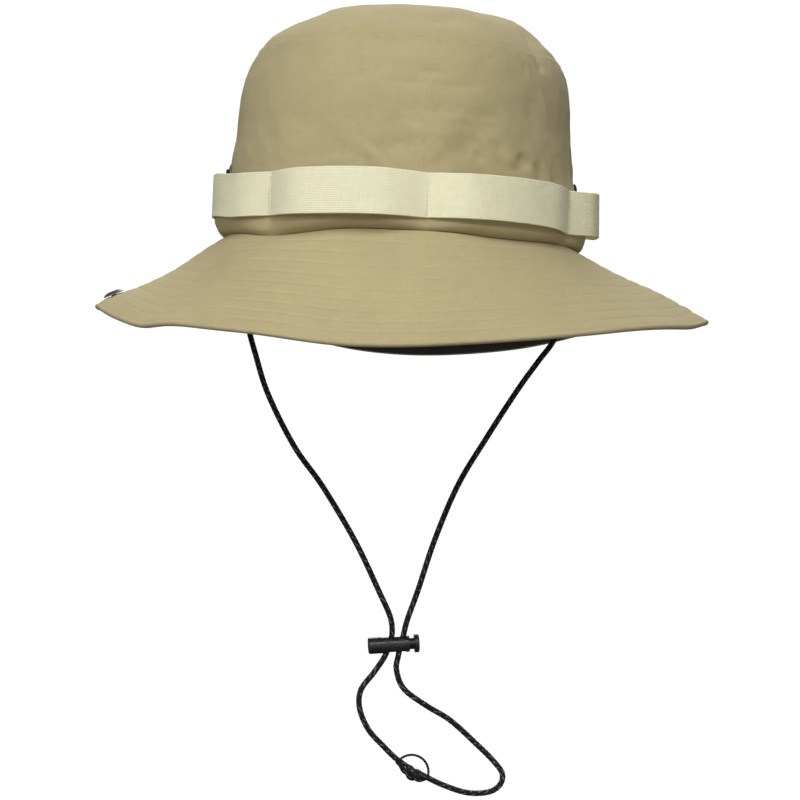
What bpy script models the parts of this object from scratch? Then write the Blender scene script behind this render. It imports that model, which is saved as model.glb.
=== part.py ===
"""Boonie hat: a soft oval crown, a stitched brim, a looped webbing band, side snaps and a chin cord.

The origin is the centre of the head opening, in the plane of the base seam. +Z is up, -Y is the
hat's front and +X is the wearer's left. Lengths are in metres, angles in radians unless named.
"""
import math

import bmesh
import bpy
from mathutils import Matrix, Vector

MM = 0.001
GAP = 0.3 * MM                     # between pieces that touch
AROUND = 48                        # steps round the head

# Crown: half width (X) against height; the half length (Y) is OVAL times the half width.
OVAL = 1.21
CROWN_PROFILE = (
    (0.086, 0.000), (0.0853, 0.020), (0.0846, 0.033), (0.0835, 0.051),
    (0.081, 0.070), (0.077, 0.085), (0.073, 0.092),
)
# How far the wearer's left side of the crown is pressed in, for each point of the profile.
CROWN_PRESS = (0.0, 0.0, 0.0022, 0.0040, 0.0030, 0.0023, 0.0022)
CLOTH = 1.0 * MM
DOME_RISE = 0.0233
DOME_POWER = 3.2
DOME_ROWS = (1.0, 0.86, 0.66, 0.42, 0.2)
SEAM_HALF_ANGLE = 0.002            # half the gap between the two side panels
TAPE_WIDTH = 0.010
TAPE_THICKNESS = 0.8 * MM

# Inside the base seam
BINDING_HEIGHT = 0.009
SWEATBAND_BOTTOM = -0.001
SWEATBAND_TOP = 0.024
SWEATBAND_THICKNESS = 1.2 * MM
LABEL_SIZE = (0.022, 0.0005, 0.016)
LABEL_CENTRE = (0.0, 0.0977, 0.012)

# Brim: a ring of constant width whose edge drops by a different amount all round.
BRIM_INNER = 0.0855
BRIM_START_Z = -0.0018
BRIM_WIDTH = 0.072
BRIM_STEEPER_START = 0.2
BRIM_EDGE_Z = -0.0425
BRIM_EDGE_WAVES = (                # (turns per circle, cosine part, sine part)
    (1, 0.005, 0.005), (2, 0.008, -0.002), (4, 0.0, 0.001),
)
BRIM_SHARES = (0.2, 0.42, 0.62, 0.85)
# Where the edge is lifted or lowered: (angle in degrees, spread in degrees, height).
BRIM_LIFTS = (
    (-156.5, 11, -5.9 * MM), (-122, 12, 1.9 * MM), (-50, 9, 0.5 * MM), (-28, 10, -1.6 * MM),
    (0, 14, -2.1 * MM), (36, 16, 6.5 * MM), (82, 14, -1.3 * MM), (102, 11, 3.4 * MM), (130, 20, 4.2 * MM),
)
# Over the ears the brim bows: (angle in degrees, share of the width, spread in shares, height).
BRIM_BOWS = ((0, 0.62, 0.27, 2.9 * MM), (180, 0.87, 0.13, 1.0 * MM), (180, 0.42, 0.26, -1.8 * MM))
BRIM_BOW_SPREAD = 26
BRIM_LAYERS = {                    # low and high face, measured from the brim's middle
    "brim_top": (0.7 * MM, 1.4 * MM),
    "brim_stiffener": (-0.4 * MM, 0.4 * MM),
    "brim_underside": (-1.4 * MM, -0.7 * MM),
}
STIFFENER_SPAN = (0.03, 0.96)

# Webbing band
WEBBING_WIDTH = 0.021
WEBBING_THICKNESS = 1.3 * MM
WEBBING_BOTTOM = 0.007
WEBBING_TILT = 1.1 * MM            # higher on the left, lower on the right
WEBBING_DIP = 1.9 * MM             # lower in front, higher at the back
WEBBING_BACK_RISE = 2.3 * MM       # a further step up behind the ears
WEBBING_DROP = (328, 14, -1.9 * MM)    # angle and spread in degrees, height
WEBBING_SETBACK = 0.7 * MM         # from the crown to the band at a tack
TACK_ANGLES = [math.radians(a) for a in (90, 148, 217.5, 270, 326.5, 389, 450)]
LOOP_STEPS = 16
WEBBING_OVERLAP = math.radians(7.5)
LOOP_HEIGHTS = (0.0036, 0.0052, 0.0084, 0.0060, 0.0090, 0.0036)
LOOP_SHOULDERS = (0.26, 0.17, 0.24, 0.20, 0.17, 0.26)    # share of a loop over which it stands up
TACK_SIZE = (0.0016, 0.018, 0.0007)
TACK_GAP = 0.6 * MM

# Snaps
SNAP_RADIUS = 0.005
SNAP_GAP = 0.3 * MM
BRIM_CAP_GAP = 0.8 * MM            # the underside curves away from the flat cap
SNAP_STEPS = 20
BRIM_SNAP_AT = 0.85                # share of the brim's width
BRIM_HOLE_RADIUS = 1.9 * MM
CROWN_SNAP_HEIGHTS = {0.0: 0.0315, math.pi: 0.0290}   # by the way each snap faces
CROWN_HOLE_RADIUS = 1.6 * MM

# Cord lock: its own X axis runs from the closed end to the button.
LOCK_CENTRE = Vector((0.0039, 0.0, -0.1955))
LOCK_TILT = math.radians(6)
BARREL_ENDS = (-0.0099, 0.0101)
BARREL_RADIUS = 0.004
BORE_RADIUS = 0.0031
BORE_END = -0.0087
BARREL_SLOT = (-0.0031, 0.0089)
PLUNGER_RADIUS = 0.0028
PLUNGER_END = -0.0046
PLUNGER_SLOT = (-0.0026, 0.0099)
FLANGE = (0.0045, 0.0127, 0.0148)  # radius, inner face, outer face
SLOT_HALF_WIDTH = 1.8 * MM
SPRING_SPAN = (-0.0082, -0.0051)
SPRING_RADIUS = 2.1 * MM
SPRING_WIRE_RADIUS = 0.22 * MM
SPRING_TURNS = 4

# Chin cord, anchors and knot
ANCHOR_X = 0.0803
ANCHOR_SIZE = (0.0042, 0.009, 0.0116)
ANCHOR_TOP = -0.0014
CORD_RADIUS = 1.4 * MM
CORD_STEP = 0.0062
KNOT_CENTRE = Vector((0.0193, 0.0, -0.2560))
KNOT_SLOPE = math.radians(26)
KNOT_HALF_LENGTH = 0.005
KNOT_RADIUS = 0.0034
KNOT_LOOP_CENTRE = Vector((0.0182, 0.0, -0.2567))
KNOT_LOOP_RADIUS = 0.0083
KNOT_LOOP_ANGLES = (math.radians(122), math.radians(6))
KNOT_LOOP_WIRE_RADIUS = 0.6 * MM

# Routes in millimetres, (X, Y, Z), from just below the anchor to just short of the knot.
RIGHT_ROUTE_MM = (
    (-80.0, 0, -22), (-77.5, 0, -32), (-73.5, 0, -42), (-68.5, 0, -57), (-61, 0, -77),
    (-47, 0, -101.5), (-32, 0, -120.5), (-15, 0, -146), (-2, 0, -170), (4.0, 0, -182),
    (5.3, 0, -190), (3.9, 0, -195.5), (2.4, 0, -201), (-2.5, -0.5, -209), (-8.6, -1, -218),
    (-8.8, -1.5, -227), (-4.0, -1.5, -237), (4.0, -1, -245), (10.5, -0.5, -250.7),
)
LEFT_ROUTE_MM = (
    (80.6, 0, -22), (80.2, 0, -32), (77.5, 0, -43), (70.5, 0, -53.5), (61, 0, -68),
    (47, 0, -92), (34, 0, -116), (24, 0, -143), (17, 0, -168), (12.4, 0, -183),
    (10.9, 0, -190.5), (9.9, 0, -195), (8.9, 0, -200.5), (8.4, 0.5, -207.5), (12.5, 1, -216.5),
    (23.5, 1.5, -224), (36.3, 2, -231), (49.5, 2, -241.8), (58.2, 1.5, -249.6), (62.9, 1, -255.6),
    (62, 0.8, -261.2), (56.5, 0.5, -264.9), (46, 0, -265.6), (33.5, 0, -262.2),
)

COLOURS = {                        # colour, roughness, metallic
    "khaki_cloth": ((0.47, 0.41, 0.27), 0.9, 0.0),
    "lining_cloth": ((0.02, 0.02, 0.022), 0.9, 0.0),
    "webbing": ((0.72, 0.69, 0.52), 0.85, 0.0),
    "tape": ((0.43, 0.38, 0.26), 0.85, 0.0),
    "thread": ((0.66, 0.61, 0.44), 0.8, 0.0),
    "stiffener": ((0.75, 0.74, 0.70), 0.9, 0.0),
    "snap_metal": ((0.03, 0.03, 0.032), 0.4, 0.6),
    "cord": ((0.03, 0.03, 0.032), 0.8, 0.0),
    "lock_plastic": ((0.02, 0.02, 0.022), 0.35, 0.0),
    "spring_steel": ((0.6, 0.6, 0.62), 0.3, 1.0),
    "label": ((0.85, 0.85, 0.82), 0.8, 0.0),
}


def clear_scene():
    for item in list(bpy.data.objects):
        bpy.data.objects.remove(item, do_unlink=True)


def material(name):
    found = bpy.data.materials.get(name)
    if found:
        return found
    colour, roughness, metallic = COLOURS[name]
    made = bpy.data.materials.new(name)
    made.use_nodes = True
    shader = made.node_tree.nodes["Principled BSDF"]
    shader.inputs["Base Color"].default_value = (*colour, 1.0)
    shader.inputs["Roughness"].default_value = roughness
    shader.inputs["Metallic"].default_value = metallic
    return made


def mesh_object(name, bm, slot, matrix=Matrix.Identity(4)):
    """Turn a bmesh into an object with outward faces and smooth shading."""
    bmesh.ops.recalc_face_normals(bm, faces=bm.faces)
    mesh = bpy.data.meshes.new(name)
    bm.to_mesh(mesh)
    bm.free()
    mesh.shade_smooth()
    mesh.set_sharp_from_angle(angle=math.radians(40))
    mesh.materials.append(material(slot))
    made = bpy.data.objects.new(name, mesh)
    made.matrix_world = matrix
    bpy.context.scene.collection.objects.link(made)
    return made


def grid_solid(name, outer, inner, ring, slot):
    """Closed sheet between two grids of points; a ring joins its last column to its first."""
    bm = bmesh.new()
    faces = [[[bm.verts.new(p) for p in row] for row in side] for side in (outer, inner)]
    rows, columns = len(outer), len(outer[0])
    last = columns if ring else columns - 1
    for i in range(last):
        k = (i + 1) % columns
        for j in range(rows - 1):
            for side in faces:
                bm.faces.new((side[j][i], side[j][k], side[j + 1][k], side[j + 1][i]))
        for j in (0, rows - 1):
            bm.faces.new((faces[0][j][i], faces[0][j][k], faces[1][j][k], faces[1][j][i]))
    if not ring:
        for i in (0, columns - 1):
            for j in range(rows - 1):
                bm.faces.new((faces[0][j][i], faces[0][j + 1][i], faces[1][j + 1][i], faces[1][j][i]))
    return mesh_object(name, bm, slot)


def turned(name, outline, slot, matrix, steps=SNAP_STEPS):
    """Solid of revolution about Z from (radius, height) points; an open outline ends on the axis."""
    bm = bmesh.new()
    rings = []
    for radius, height in outline:
        if radius == 0.0:
            rings.append([bm.verts.new((0, 0, height))])
            continue
        turn = [2 * math.pi * i / steps for i in range(steps)]
        rings.append([bm.verts.new((radius * math.cos(t), radius * math.sin(t), height)) for t in turn])
    pairs = list(zip(rings, rings[1:]))
    if outline[0][0] > 0.0:
        pairs.append((rings[-1], rings[0]))
    for low, high in pairs:
        for i in range(steps):
            k = (i + 1) % steps
            corners = [low[i % len(low)], low[k % len(low)], high[k % len(high)], high[i % len(high)]]
            bm.faces.new(list(dict.fromkeys(corners)))
    return mesh_object(name, bm, slot, matrix)


def block(name, size, slot, matrix, edge):
    """Box with rounded edges."""
    bm = bmesh.new()
    bmesh.ops.create_cube(bm, size=1.0, matrix=Matrix.Diagonal((*size, 1.0)))
    bmesh.ops.bevel(bm, geom=bm.edges[:], offset=edge, segments=1, affect="EDGES")
    return mesh_object(name, bm, slot, matrix)


def tube(name, points, radius, slot, resolution=2):
    """Round tube through the points, with closed ends."""
    curve = bpy.data.curves.new(name, "CURVE")
    curve.dimensions = "3D"
    curve.bevel_depth = radius
    curve.bevel_resolution = resolution
    curve.use_fill_caps = True
    spline = curve.splines.new("POLY")
    spline.points.add(len(points) - 1)
    for target, point in zip(spline.points, points):
        target.co = (*point, 1.0)
    curve.materials.append(material(slot))
    made = bpy.data.objects.new(name, curve)
    bpy.context.scene.collection.objects.link(made)
    return made


def cut(target, cutter):
    """Subtract a hidden cutter from the target."""
    cutter.hide_render = True
    cutter.display_type = "WIRE"
    boolean = target.modifiers.new("cut", "BOOLEAN")
    boolean.operation = "DIFFERENCE"
    boolean.solver = "EXACT"
    boolean.object = cutter


def oval(half_width, angle, z):
    return Vector((half_width * math.cos(angle), OVAL * half_width * math.sin(angle), z))


def angles(start, end, steps):
    return [start + (end - start) * i / steps for i in range(steps + 1)]


FULL_TURN = angles(0, 2 * math.pi, AROUND)[:-1]


def along_profile(values, z):
    """Value at a height, straight between the values at the crown profile's points."""
    heights = [height for _, height in CROWN_PROFILE]
    for k in range(len(heights) - 1):
        if z <= heights[k + 1]:
            share = (z - heights[k]) / (heights[k + 1] - heights[k])
            return values[k] + (values[k + 1] - values[k]) * share
    return values[-1]


def crown_width(z):
    """Half width of the crown's outer face at a height."""
    return along_profile([width for width, _ in CROWN_PROFILE], z)


def crown_point(width, angle, z, share=1.0):
    """Point of the crown, whose left side is pressed in above the band."""
    press = along_profile(CROWN_PRESS, z) * max(0.0, math.cos(angle)) * share
    return oval(width, angle, z) - Vector((press, 0, 0))


def crown_frame(angle, z):
    """Placing matrix on the crown's outer face: Z out of the cloth, Y up."""
    width = crown_width(z)
    along = Vector((-math.sin(angle), OVAL * math.cos(angle), 0)).normalized()
    place = crown_point(width, angle, z)
    up = (crown_point(crown_width(z + MM), angle, z + MM) - place).normalized()
    out = along.cross(up)
    return Matrix.LocRotScale(place, Matrix((along, up, out)).transposed(), None)


def head_ring(name, outer, inner, slot):
    """Ring round the head from (half width, height) rows of its outer and inner face."""
    grids = [[[crown_point(w, t, z) for t in FULL_TURN] for w, z in rows] for rows in (outer, inner)]
    return grid_solid(name, grids[0], grids[1], True, slot)


def add_crown():
    spans = {"crown_side_left": -math.pi / 2, "crown_side_right": math.pi / 2}
    for name, start in spans.items():
        turn = angles(start + SEAM_HALF_ANGLE, start + math.pi - SEAM_HALF_ANGLE, AROUND // 2)
        outer = [[crown_point(w, t, z) for t in turn] for w, z in CROWN_PROFILE]
        inner = [[crown_point(w - CLOTH, t, z) for t in turn] for w, z in CROWN_PROFILE]
        side = grid_solid(name, outer, inner, False, "khaki_cloth")
        facing = 0.0 if name == "crown_side_left" else math.pi
        cut(side, snap_hole("hole_" + name, CROWN_HOLE_RADIUS, crown_frame(facing, CROWN_SNAP_HEIGHTS[facing])))
    add_top_panel()
    add_seam_tapes()


def dome_z(share, rise):
    return CROWN_PROFILE[-1][1] + GAP + rise * (1 - share ** DOME_POWER)


def add_top_panel():
    """Domed oval that closes the crown, resting on the side panels' top edge."""
    width = CROWN_PROFILE[-1][0]
    bm = bmesh.new()
    sides = []
    for edge, rise in ((width, DOME_RISE), (width - CLOTH, DOME_RISE - CLOTH)):
        rows = []
        for s in DOME_ROWS:
            rows.append([bm.verts.new(crown_point(edge * s, t, dome_z(s, rise), s)) for t in FULL_TURN])
        centre = bm.verts.new((0, 0, dome_z(0, rise)))
        for row, nearer in zip(rows, rows[1:]):
            for i in range(AROUND):
                k = (i + 1) % AROUND
                bm.faces.new((row[i], row[k], nearer[k], nearer[i]))
        for i in range(AROUND):
            bm.faces.new((rows[-1][i], rows[-1][(i + 1) % AROUND], centre))
        sides.append(rows[0])
    for i in range(AROUND):
        k = (i + 1) % AROUND
        bm.faces.new((sides[0][i], sides[0][k], sides[1][k], sides[1][i]))
    mesh_object("crown_top_panel", bm, "khaki_cloth")


def add_seam_tapes():
    """Tapes sewn inside the crown over the top seam and the front and back seams."""
    top = CROWN_PROFILE[-1][1]
    heights = (top - TAPE_WIDTH, top - 0.5 * TAPE_WIDTH, top - MM)
    inset = CLOTH + 2 * GAP
    outer = [(crown_width(z) - inset, z) for z in heights]
    inner = [(w - TAPE_THICKNESS, z) for w, z in outer]
    head_ring("top_seam_tape", outer, inner, "tape")
    for name, facing in (("front_seam_tape", -math.pi / 2), ("back_seam_tape", math.pi / 2)):
        half = 0.5 * TAPE_WIDTH / CROWN_PROFILE[0][0]
        turn = angles(facing - half, facing + half, 2)
        heights = [z for _, z in CROWN_PROFILE if SWEATBAND_TOP < z < top - TAPE_WIDTH]
        heights = [SWEATBAND_TOP + MM, *heights, top - TAPE_WIDTH - MM]
        outer = [[oval(crown_width(z) - inset, t, z) for t in turn] for z in heights]
        inner = [[oval(crown_width(z) - inset - TAPE_THICKNESS, t, z) for t in turn] for z in heights]
        grid_solid(name, outer, inner, False, "tape")


def add_head_opening():
    """Binding over the raw edges of the base seam, the sweatband inside it and a blank label."""
    face = CROWN_PROFILE[0][0] - CLOTH - GAP
    binding = [(face - 0.3 * MM, 0.5 * MM), (face - 0.3 * MM, BINDING_HEIGHT)]
    head_ring("base_seam_binding", binding, [(w - CLOTH, z) for w, z in binding], "tape")
    face = face - 0.3 * MM - CLOTH - GAP
    band = [(face, SWEATBAND_BOTTOM), (face, SWEATBAND_TOP)]
    head_ring("sweatband", band, [(w - SWEATBAND_THICKNESS, z) for w, z in band], "lining_cloth")
    block("care_label", LABEL_SIZE, "label", Matrix.Translation(LABEL_CENTRE), 0.1 * MM)


def near(angle, degrees, spread):
    """1 at a place round the head, fading to 0 away from it."""
    away = (math.degrees(angle) - degrees + 180) % 360 - 180
    return math.exp(-(away / spread) ** 2)


def brim_edge_z(angle):
    waves = sum(c * math.cos(n * angle) + s * math.sin(n * angle) for n, c, s in BRIM_EDGE_WAVES)
    return BRIM_EDGE_Z + waves + sum(h * near(angle, at, spread) for at, spread, h in BRIM_LIFTS)


def brim_middle(angle, share):
    """Point in the middle of the brim's thickness; share is 0 at the seam and 1 at the edge."""
    drop = BRIM_START_Z - brim_edge_z(angle)
    run = math.sqrt(BRIM_WIDTH ** 2 - drop ** 2)
    out = Vector((OVAL * math.cos(angle), math.sin(angle), 0)).normalized()
    fall = share + BRIM_STEEPER_START * share * (1 - share)
    bow = 0.0
    for at, middle, spread, height in BRIM_BOWS:
        bow += height * near(angle, at, BRIM_BOW_SPREAD) * math.exp(-((share - middle) / spread) ** 2)
    return oval(BRIM_INNER, angle, BRIM_START_Z) + out * run * share - Vector((0, 0, drop * fall - bow))


def brim_frame(angle, share):
    """Placing matrix on the brim's middle: Z up out of the cloth, Y outwards down the slope."""
    step = 0.01
    along = (brim_middle(angle + step, share) - brim_middle(angle - step, share)).normalized()
    down = (brim_middle(angle, share + step) - brim_middle(angle, share - step)).normalized()
    up = down.cross(along).normalized()
    side = down.cross(up)
    return Matrix.LocRotScale(brim_middle(angle, share), Matrix((side, down, up)).transposed(), None)


def brim_rows(span, lift):
    shares = (span[0], *BRIM_SHARES, span[1])
    return [[brim_frame(t, s) @ Vector((0, 0, lift)) for t in FULL_TURN] for s in shares]


def add_brim():
    slots = {"brim_top": "khaki_cloth", "brim_stiffener": "stiffener", "brim_underside": "lining_cloth"}
    for name, (low, high) in BRIM_LAYERS.items():
        span = STIFFENER_SPAN if name == "brim_stiffener" else (0.0, 1.0)
        layer = grid_solid(name, brim_rows(span, high), brim_rows(span, low), True, slots[name])
        for side, facing in (("left", 0.0), ("right", math.pi)):
            hole = "hole_" + name + "_" + side
            cut(layer, snap_hole(hole, BRIM_HOLE_RADIUS, brim_frame(facing, BRIM_SNAP_AT)))


def webbing_path(angle):
    """Distance from the crown to the band's inner face: loops rise between the tacks."""
    loop = 0
    while loop < len(LOOP_HEIGHTS) - 1 and angle >= TACK_ANGLES[loop + 1]:
        loop += 1
    start, end = TACK_ANGLES[loop], TACK_ANGLES[loop + 1]
    away = max(0.0, min(angle - start, end - angle) / (end - start))
    shape = -math.log(math.exp(-9 * away / LOOP_SHOULDERS[loop]) + math.exp(-9)) / 9
    return WEBBING_SETBACK + LOOP_HEIGHTS[loop] * (math.sqrt(shape ** 2 + 0.0049) - 0.07)


def webbing_shift(angle):
    """How much higher than its nominal height the band runs at an angle."""
    behind = min(1.0, max(0.0, (math.sin(angle - math.radians(12.5)) + 0.2) / 0.4))
    step = WEBBING_BACK_RISE * behind * behind * (3 - 2 * behind)
    at, spread, height = WEBBING_DROP
    drop = height * near(angle, at, spread)
    return WEBBING_TILT * math.cos(angle) + WEBBING_DIP * math.sin(angle) + step + drop


def webbing_point(angle, distance, z):
    out = Vector((OVAL * math.cos(angle), math.sin(angle), 0)).normalized()
    return oval(crown_width(WEBBING_BOTTOM), angle, z) + out * distance


def add_webbing():
    """One strip round the crown whose end laps over its beginning at the back."""
    turn = [TACK_ANGLES[0] - 0.5 * WEBBING_OVERLAP]
    for low, high in zip(TACK_ANGLES, TACK_ANGLES[1:]):
        turn += angles(low, high, LOOP_STEPS)[:-1]
    turn += [TACK_ANGLES[-1], TACK_ANGLES[-1] + 0.5 * WEBBING_OVERLAP]
    lap = WEBBING_THICKNESS + GAP
    grids = []
    for face in (WEBBING_THICKNESS, 0.0):
        rows = []
        for height in (0.0, WEBBING_WIDTH):
            row = []
            for t in turn:
                rise = min(1.0, max(0.0, (t - turn[0] - 2 * math.pi) / WEBBING_OVERLAP + 1.0))
                z = WEBBING_BOTTOM + height + webbing_shift(t)
                row.append(webbing_point(t, webbing_path(max(t, math.pi / 2)) + face + lap * rise, z))
            rows.append(row)
        grids.append(rows)
    grid_solid("webbing_band", grids[0], grids[1], False, "webbing")
    add_tacks(lap)


def add_tacks(lap):
    """Thread bars that hold the band down; the one at the back holds both of its ends."""
    for index in range(len(LOOP_HEIGHTS)):
        angle = TACK_ANGLES[index]
        height = WEBBING_SETBACK + WEBBING_THICKNESS + TACK_GAP + 0.5 * TACK_SIZE[2]
        if index == 0:
            height += lap
        middle = WEBBING_BOTTOM + 0.5 * WEBBING_WIDTH + webbing_shift(angle)
        along = Vector((-math.sin(angle), OVAL * math.cos(angle), 0)).normalized()
        up = Vector((0, 0, 1))
        upright = Matrix((along, up, along.cross(up))).transposed()
        place = Matrix.LocRotScale(webbing_point(angle, height, middle), upright, None)
        block("band_tack_%d" % (index + 1), TACK_SIZE, "thread", place, 0.2 * MM)


def snap_hole(name, radius, matrix):
    reach = 4 * MM
    return turned(name, ((0.0, -reach), (radius, -reach), (radius, reach), (0.0, reach)), "snap_metal", matrix)


def add_brim_snap(side, facing):
    """Socket on the brim's top, riveted through it to a cap underneath."""
    place = brim_frame(facing, BRIM_SNAP_AT)
    top = BRIM_LAYERS["brim_top"][1] + SNAP_GAP
    low = BRIM_LAYERS["brim_underside"][0] - BRIM_CAP_GAP
    r = SNAP_RADIUS
    socket = (
        (1.9 * MM, top), (r, top), (r, top + 0.5 * MM), (0.86 * r, top + 1.1 * MM),
        (0.6 * r, top + 1.6 * MM), (2.2 * MM, top + 1.7 * MM), (1.9 * MM, top + 1.4 * MM),
    )
    turned("brim_snap_socket_" + side, socket, "snap_metal", place)
    shank = 1.3 * MM
    cap = (
        (0.0, top + 1.0 * MM), (shank, top + 0.8 * MM), (shank, low), (r, low), (r, low - 0.5 * MM),
        (0.8 * r, low - 1.1 * MM), (0.4 * r, low - 1.4 * MM), (0.0, low - 1.5 * MM),
    )
    turned("brim_snap_cap_" + side, cap, "snap_metal", place)


def add_crown_snap(side, facing):
    """Stud on the outside of the crown, riveted through it to a post inside."""
    place = crown_frame(facing, CROWN_SNAP_HEIGHTS[facing])
    base = SNAP_GAP
    r = SNAP_RADIUS
    stud = (
        (0.0, base + 1.5 * MM), (1.6 * MM, base + 1.5 * MM), (1.6 * MM, base), (r, base),
        (r, base + 0.4 * MM), (0.55 * r, base + 0.8 * MM), (0.46 * r, base + 1.2 * MM),
        (0.52 * r, base + 1.8 * MM), (0.36 * r, base + 2.1 * MM), (0.0, base + 2.1 * MM),
    )
    turned("crown_snap_stud_" + side, stud, "snap_metal", place)
    back = -CLOTH - SNAP_GAP
    post = (
        (0.0, base + 1.1 * MM), (1.2 * MM, base + 1.0 * MM), (1.2 * MM, back), (0.9 * r, back),
        (0.9 * r, back - 0.4 * MM), (0.5 * r, back - 0.8 * MM), (0.0, back - 0.9 * MM),
    )
    turned("crown_snap_post_" + side, post, "snap_metal", place)


def slot_cutter(name, span, matrix):
    """Upright prism with round ends that cuts the cord slot."""
    bm = bmesh.new()
    low, high = span[0] + SLOT_HALF_WIDTH, span[1] - SLOT_HALF_WIDTH
    outline = []
    for centre, start in ((high, -math.pi / 2), (low, math.pi / 2)):
        for t in angles(start, start + math.pi, 8):
            outline.append((centre + SLOT_HALF_WIDTH * math.cos(t), SLOT_HALF_WIDTH * math.sin(t)))
    ends = [[bm.verts.new((x, y, z)) for x, y in outline] for z in (-6 * MM, 6 * MM)]
    for i in range(len(outline)):
        k = (i + 1) % len(outline)
        bm.faces.new((ends[0][i], ends[0][k], ends[1][k], ends[1][i]))
    for end in ends:
        bm.faces.new(end)
    return mesh_object(name, bm, "lock_plastic", matrix)


def add_cord_lock():
    """Barrel with a blind bore, a sprung plunger in it, and one slot through both for the cords."""
    level = Matrix.Translation(LOCK_CENTRE) @ Matrix.Rotation(-LOCK_TILT, 4, "Y")
    along = level @ Matrix.Rotation(math.pi / 2, 4, "Y")
    closed, mouth = BARREL_ENDS
    r, edge = BARREL_RADIUS, 0.4 * MM
    barrel_outline = (
        (0.0, closed), (r - edge, closed), (r, closed + edge), (r, mouth - edge), (r - 0.5 * edge, mouth),
        (BORE_RADIUS, mouth), (BORE_RADIUS, BORE_END), (0.0, BORE_END),
    )
    barrel = turned("lock_barrel", barrel_outline, "lock_plastic", along, 28)
    cut(barrel, slot_cutter("slot_lock_barrel", BARREL_SLOT, level))
    head, inner, outer = FLANGE
    plunger_outline = (
        (0.0, PLUNGER_END), (PLUNGER_RADIUS, PLUNGER_END), (PLUNGER_RADIUS, inner), (head, inner),
        (head, outer - edge), (head - edge, outer), (0.0, outer),
    )
    plunger = turned("lock_plunger", plunger_outline, "lock_plastic", along, 28)
    cut(plunger, slot_cutter("slot_lock_plunger", PLUNGER_SLOT, level))
    coil = []
    for i in range(SPRING_TURNS * 12 + 1):
        t = 2 * math.pi * i / 12
        x = SPRING_SPAN[0] + (SPRING_SPAN[1] - SPRING_SPAN[0]) * i / (SPRING_TURNS * 12)
        coil.append(level @ Vector((x, SPRING_RADIUS * math.cos(t), SPRING_RADIUS * math.sin(t))))
    tube("lock_spring", coil, SPRING_WIRE_RADIUS, "spring_steel", 1)


def smooth_route(points):
    """Evenly spaced points on the smooth curve through a route's points."""
    padded = [2 * points[0] - points[1], *points, 2 * points[-1] - points[-2]]
    dense = [points[0]]
    for a, b, c, d in zip(padded, padded[1:], padded[2:], padded[3:]):
        for i in range(1, 21):
            t = i / 20
            dense.append(0.5 * (2 * b + (c - a) * t + (2 * a - 5 * b + 4 * c - d) * t ** 2
                                + (3 * b - a - 3 * c + d) * t ** 3))
    reach = [0.0]
    for a, b in zip(dense, dense[1:]):
        reach.append(reach[-1] + (b - a).length)
    count = round(reach[-1] / CORD_STEP)
    even, k = [dense[0]], 0
    for i in range(1, count):
        wanted = reach[-1] * i / count
        while reach[k + 1] < wanted:
            k += 1
        even.append(dense[k].lerp(dense[k + 1], (wanted - reach[k]) / (reach[k + 1] - reach[k])))
    return [*even, dense[-1]]


def add_cord(side, sign, route, knot_sign):
    """One length of chin cord from its anchor, through the lock, to the knot."""
    anchor = Matrix.Translation((sign * ANCHOR_X, 0, ANCHOR_TOP - 0.5 * ANCHOR_SIZE[2]))
    block("cord_anchor_" + side, ANCHOR_SIZE, "tape", anchor, 0.6 * MM)
    start = Vector((sign * ANCHOR_X, 0, ANCHOR_TOP - ANCHOR_SIZE[2] - GAP))
    along = Vector((math.cos(KNOT_SLOPE), 0, -math.sin(KNOT_SLOPE)))
    end = KNOT_CENTRE + along * knot_sign * (KNOT_HALF_LENGTH + GAP)
    points = [start, *(Vector(p) * MM for p in route), end]
    tube("chin_cord_" + side, smooth_route(points), CORD_RADIUS, "cord")


def add_knot():
    """The knot that joins the two cords, and the thin loop that stands round it."""
    r, half = KNOT_RADIUS, KNOT_HALF_LENGTH
    outline = (
        (0.0, -half), (0.55 * r, -half), (0.9 * r, -0.6 * half), (r, 0.0),
        (0.9 * r, 0.6 * half), (0.55 * r, half), (0.0, half),
    )
    place = Matrix.Translation(KNOT_CENTRE) @ Matrix.Rotation(math.pi / 2 + KNOT_SLOPE, 4, "Y")
    turned("cord_knot", outline, "cord", place, 16)
    arc = [KNOT_LOOP_CENTRE + KNOT_LOOP_RADIUS * Vector((math.cos(t), 0, math.sin(t)))
           for t in angles(KNOT_LOOP_ANGLES[0], KNOT_LOOP_ANGLES[1], 14)]
    tube("knot_loop", arc, KNOT_LOOP_WIRE_RADIUS, "cord", 1)


def main():
    clear_scene()
    add_crown()
    add_head_opening()
    add_brim()
    add_webbing()
    for side, facing in (("left", 0.0), ("right", math.pi)):
        add_brim_snap(side, facing)
        add_crown_snap(side, facing)
    add_cord_lock()
    add_cord("right", -1, RIGHT_ROUTE_MM, -1)
    add_cord("left", 1, LEFT_ROUTE_MM, 1)
    add_knot()


main()
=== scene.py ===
"""Looks of the boonie hat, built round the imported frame. Metres; -Y is the hat's front, +Z is up."""
import math

import bmesh
import bpy
import numpy as np
from mathutils import Matrix, Vector, noise


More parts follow.
